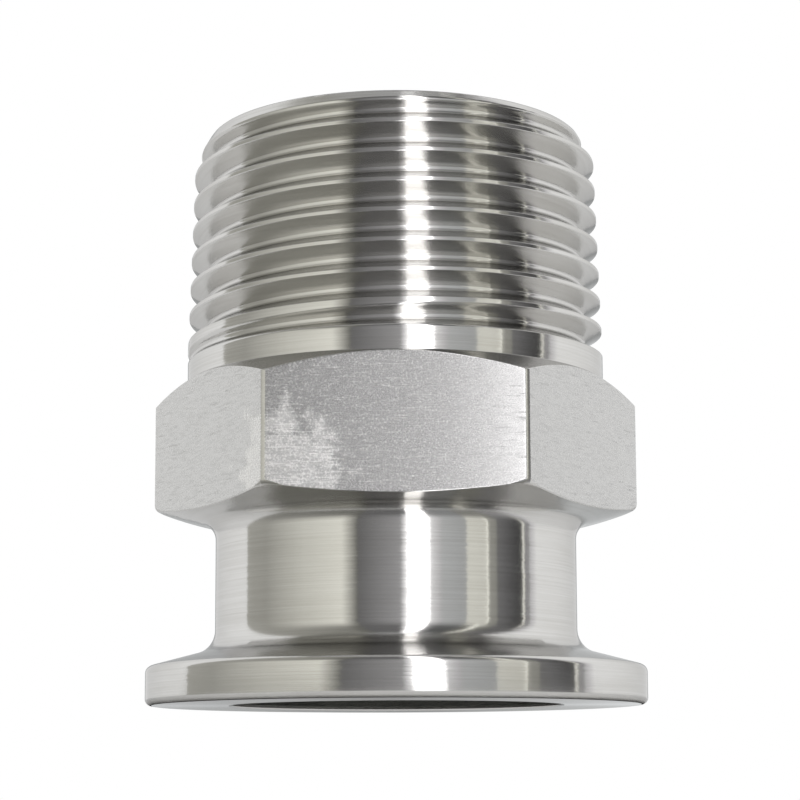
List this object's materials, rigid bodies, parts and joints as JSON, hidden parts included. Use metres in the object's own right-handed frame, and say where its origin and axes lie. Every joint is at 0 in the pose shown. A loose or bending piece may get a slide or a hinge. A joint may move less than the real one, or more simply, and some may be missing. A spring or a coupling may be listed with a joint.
{
  "type": "vacuum flange adapter",
  "caption": "Stainless adapter with a small vacuum clamp flange, a neck, a hexagon and an outside taper pipe thread, bored right through.",
  "frame": {"origin": "centre of the flange's sealing face, at the foot of the part", "axes": "+Z along the bore axis from the flange up to the thread's free end, and -Y square out of one flat of the hexagon"},
  "size_m": [0.04, 0.04, 0.046],
  "materials": {
    "stainless_body": "bare stainless, fine turned on the round faces, ground on the hexagon's flats"
  },
  "bodies": {
    "root": {"adapter_body": "stainless_body"}
  },
  "joints": []
}
